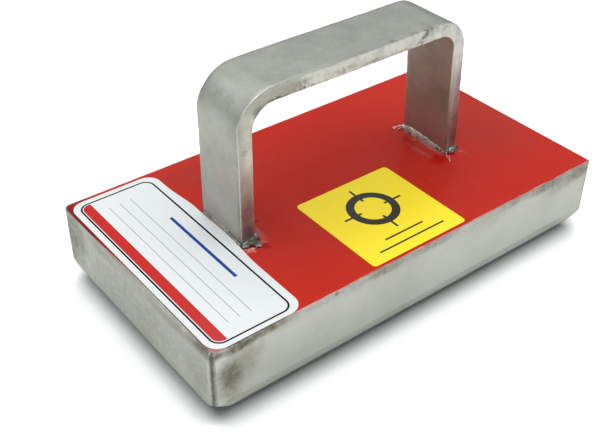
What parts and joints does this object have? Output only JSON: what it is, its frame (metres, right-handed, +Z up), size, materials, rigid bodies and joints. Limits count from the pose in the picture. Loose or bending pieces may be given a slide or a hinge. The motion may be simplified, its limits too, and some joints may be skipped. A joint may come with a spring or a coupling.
{
  "type": "lifting magnet",
  "caption": "Hand lifting magnet: flat stainless case with folded edges, red film top and a welded flat-bar handle; the whole underside is the pull face.",
  "frame": {"origin": "middle of the pull face (underside of the case), on the surface it stands on", "axes": "+X along the long side, from the end with the white label to the bare end; +Y from the side with the yellow sticker to the far side; +Z up through the handle"},
  "size_m": [0.2, 0.109, 0.1015],
  "materials": {
    "stainless_sheet": "satin stainless sheet, mill finish with grinding marks",
    "stainless_bar": "satin stainless flat bar, rolled faces",
    "weld_metal": "stainless weld metal, as laid at the feet and ground flush at the seams",
    "yoke_steel": "bare mild steel plate",
    "ferrite": "dark grey ground ferrite",
    "epoxy_glue": "cured epoxy glue",
    "potting_resin": "filled casting resin",
    "spacer_aluminium": "sawn aluminium flat",
    "red_film": "glossy red self-adhesive vinyl",
    "white_label": "satin white vinyl label",
    "yellow_sticker": "satin yellow vinyl sticker"
  },
  "bodies": {
    "root": {"corner_seam_back_left": "weld_metal", "corner_seam_back_right": "weld_metal", "corner_seam_front_left": "weld_metal", "corner_seam_front_right": "weld_metal", "handle_bar": "stainless_bar", "magnet_glue_lower": "epoxy_glue", "magnet_glue_upper": "epoxy_glue", "magnet_lower_back_1": "ferrite", "magnet_lower_back_2": "ferrite", "magnet_lower_back_3": "ferrite", "magnet_lower_back_4": "ferrite", "magnet_lower_front_1": "ferrite", "magnet_lower_front_2": "ferrite", "magnet_lower_front_3": "ferrite", "magnet_lower_front_4": "ferrite", "magnet_upper_back_1": "ferrite", "magnet_upper_back_2": "ferrite", "magnet_upper_back_3": "ferrite", "magnet_upper_back_4": "ferrite", "magnet_upper_front_1": "ferrite", "magnet_upper_front_2": "ferrite", "magnet_upper_front_3": "ferrite", "magnet_upper_front_4": "ferrite", "potting_resin": "potting_resin", "rim_stitches_back": "weld_metal", "rim_stitches_front": "weld_metal", "rim_stitches_left": "weld_metal", "rim_stitches_right": "weld_metal", "row_spacer": "spacer_aluminium", "top_film": "red_film", "tray_shell": "stainless_sheet", "weld_left_back": "weld_metal", "weld_left_front": "weld_metal", "weld_left_inner": "weld_metal", "weld_left_outer": "weld_metal", "weld_right_back": "weld_metal", "weld_right_front": "weld_metal", "weld_right_inner": "weld_metal", "weld_right_outer": "weld_metal", "white_label": "white_label", "yellow_sticker": "yellow_sticker", "yoke_plate": "yoke_steel"}
  },
  "joints": []
}
